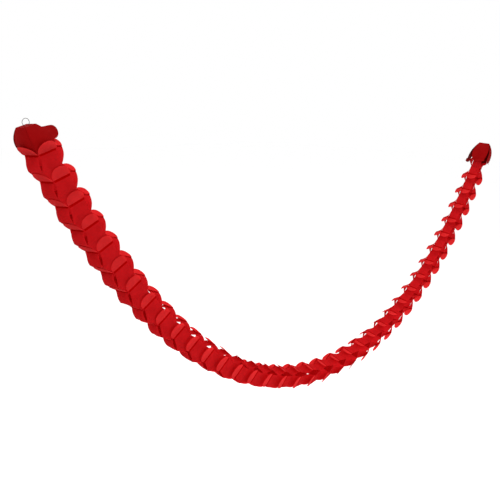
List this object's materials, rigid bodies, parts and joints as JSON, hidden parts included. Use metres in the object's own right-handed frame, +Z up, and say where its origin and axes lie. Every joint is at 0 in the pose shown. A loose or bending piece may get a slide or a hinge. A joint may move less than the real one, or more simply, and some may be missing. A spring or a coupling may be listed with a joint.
{
  "type": "paper bunting",
  "caption": "Red tissue pull garland hanging in one long curve, a square tube of thin sheets with a round petal on each side, closed by end cards and carried by a small wire ring.",
  "frame": {"origin": "inner top of the hanging ring, where a hook bears", "axes": "+X along the level span from the ring's end to the far end, +Z up, -Y the side that the picture's camera is on"},
  "size_m": [3.1007, 0.1504, 1.3324],
  "materials": {
    "tissue": "matte",
    "card": "matte",
    "ring": "satin"
  },
  "bodies": {
    "root": {"near_card": "card", "sheet_pair_01": "tissue", "sheet_pair_02": "tissue", "sheet_pair_03": "tissue", "sheet_pair_04": "tissue", "sheet_pair_05": "tissue", "sheet_pair_06": "tissue", "sheet_pair_07": "tissue", "sheet_pair_08": "tissue", "sheet_pair_09": "tissue", "sheet_pair_10": "tissue", "sheet_pair_11": "tissue", "sheet_pair_12": "tissue", "sheet_pair_13": "tissue", "sheet_pair_14": "tissue", "sheet_pair_15": "tissue", "sheet_pair_16": "tissue", "sheet_pair_17": "tissue", "sheet_pair_18": "tissue", "sheet_pair_19": "tissue", "sheet_pair_20": "tissue", "sheet_pair_21": "tissue", "sheet_pair_22": "tissue", "sheet_pair_23": "tissue", "sheet_pair_24": "tissue", "sheet_pair_25": "tissue", "sheet_pair_26": "tissue", "sheet_pair_27": "tissue", "sheet_pair_28": "tissue", "sheet_pair_29": "tissue", "sheet_pair_30": "tissue", "sheet_pair_31": "tissue", "sheet_pair_32": "tissue", "sheet_pair_33": "tissue", "sheet_pair_34": "tissue", "sheet_pair_35": "tissue", "sheet_pair_36": "tissue", "far_card": "card", "hanging_ring": "ring"}
  },
  "joints": []
}
